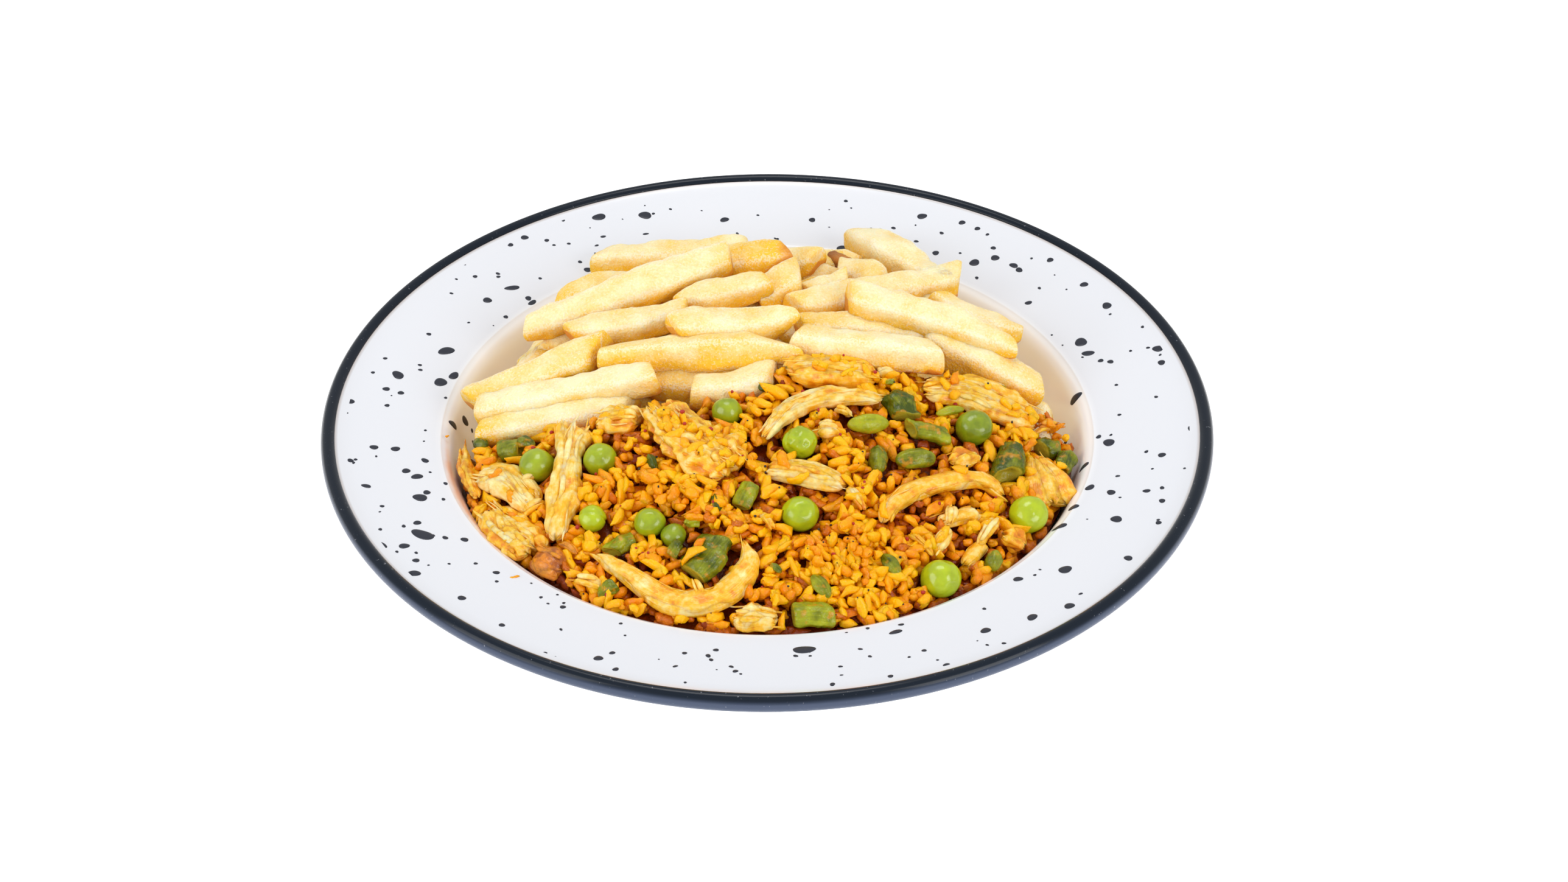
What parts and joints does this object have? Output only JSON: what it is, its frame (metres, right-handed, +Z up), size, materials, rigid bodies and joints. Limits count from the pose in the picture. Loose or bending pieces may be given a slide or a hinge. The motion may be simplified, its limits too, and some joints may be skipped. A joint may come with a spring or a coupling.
{
  "type": "arroz con pollo on a soup plate",
  "caption": "Round rimmed soup plate heaped with yellow rice, peas, green vegetables and pulled chicken in front, and a pile of thick-cut fries behind.",
  "frame": {"origin": "middle of the plate's foot ring, on the surface it stands on", "axes": "+Z up through the middle of the plate; +Y from the rice towards the fries; +X to the right of someone who has the rice nearest"},
  "size_m": [0.25, 0.25, 0.056],
  "materials": {
    "glaze": "gloss white with dark speckles and a dark rolled edge",
    "rice": "moist yellow rice",
    "fries": "pale fried potato",
    "pea": "glossy green skin",
    "green": "glossy dark green skin",
    "chicken": "moist fibres stained yellow"
  },
  "bodies": {
    "root": {"plate": "glaze", "rice": "rice", "fries": "fries", "pea_01": "pea", "pea_02": "pea", "pea_03": "pea", "pea_04": "pea", "pea_05": "pea", "pea_06": "pea", "pea_07": "pea", "pea_08": "pea", "pea_09": "pea", "pea_10": "pea", "pea_11": "pea", "green_01": "green", "green_02": "green", "green_03": "green", "green_04": "green", "green_05": "green", "green_06": "green", "green_07": "green", "green_08": "green", "green_09": "green", "green_10": "green", "green_11": "green", "green_12": "green", "green_13": "green", "chicken_01": "chicken", "chicken_02": "chicken", "chicken_03": "chicken", "chicken_04": "chicken", "chicken_05": "chicken", "chicken_06": "chicken", "chicken_07": "chicken", "chicken_08": "chicken", "chicken_09": "chicken", "chicken_10": "chicken", "chicken_11": "chicken", "chicken_12": "chicken", "chicken_13": "chicken", "chicken_14": "chicken", "chicken_15": "chicken", "chicken_16": "chicken", "chicken_17": "chicken", "chicken_18": "chicken", "chicken_19": "chicken"}
  },
  "joints": []
}
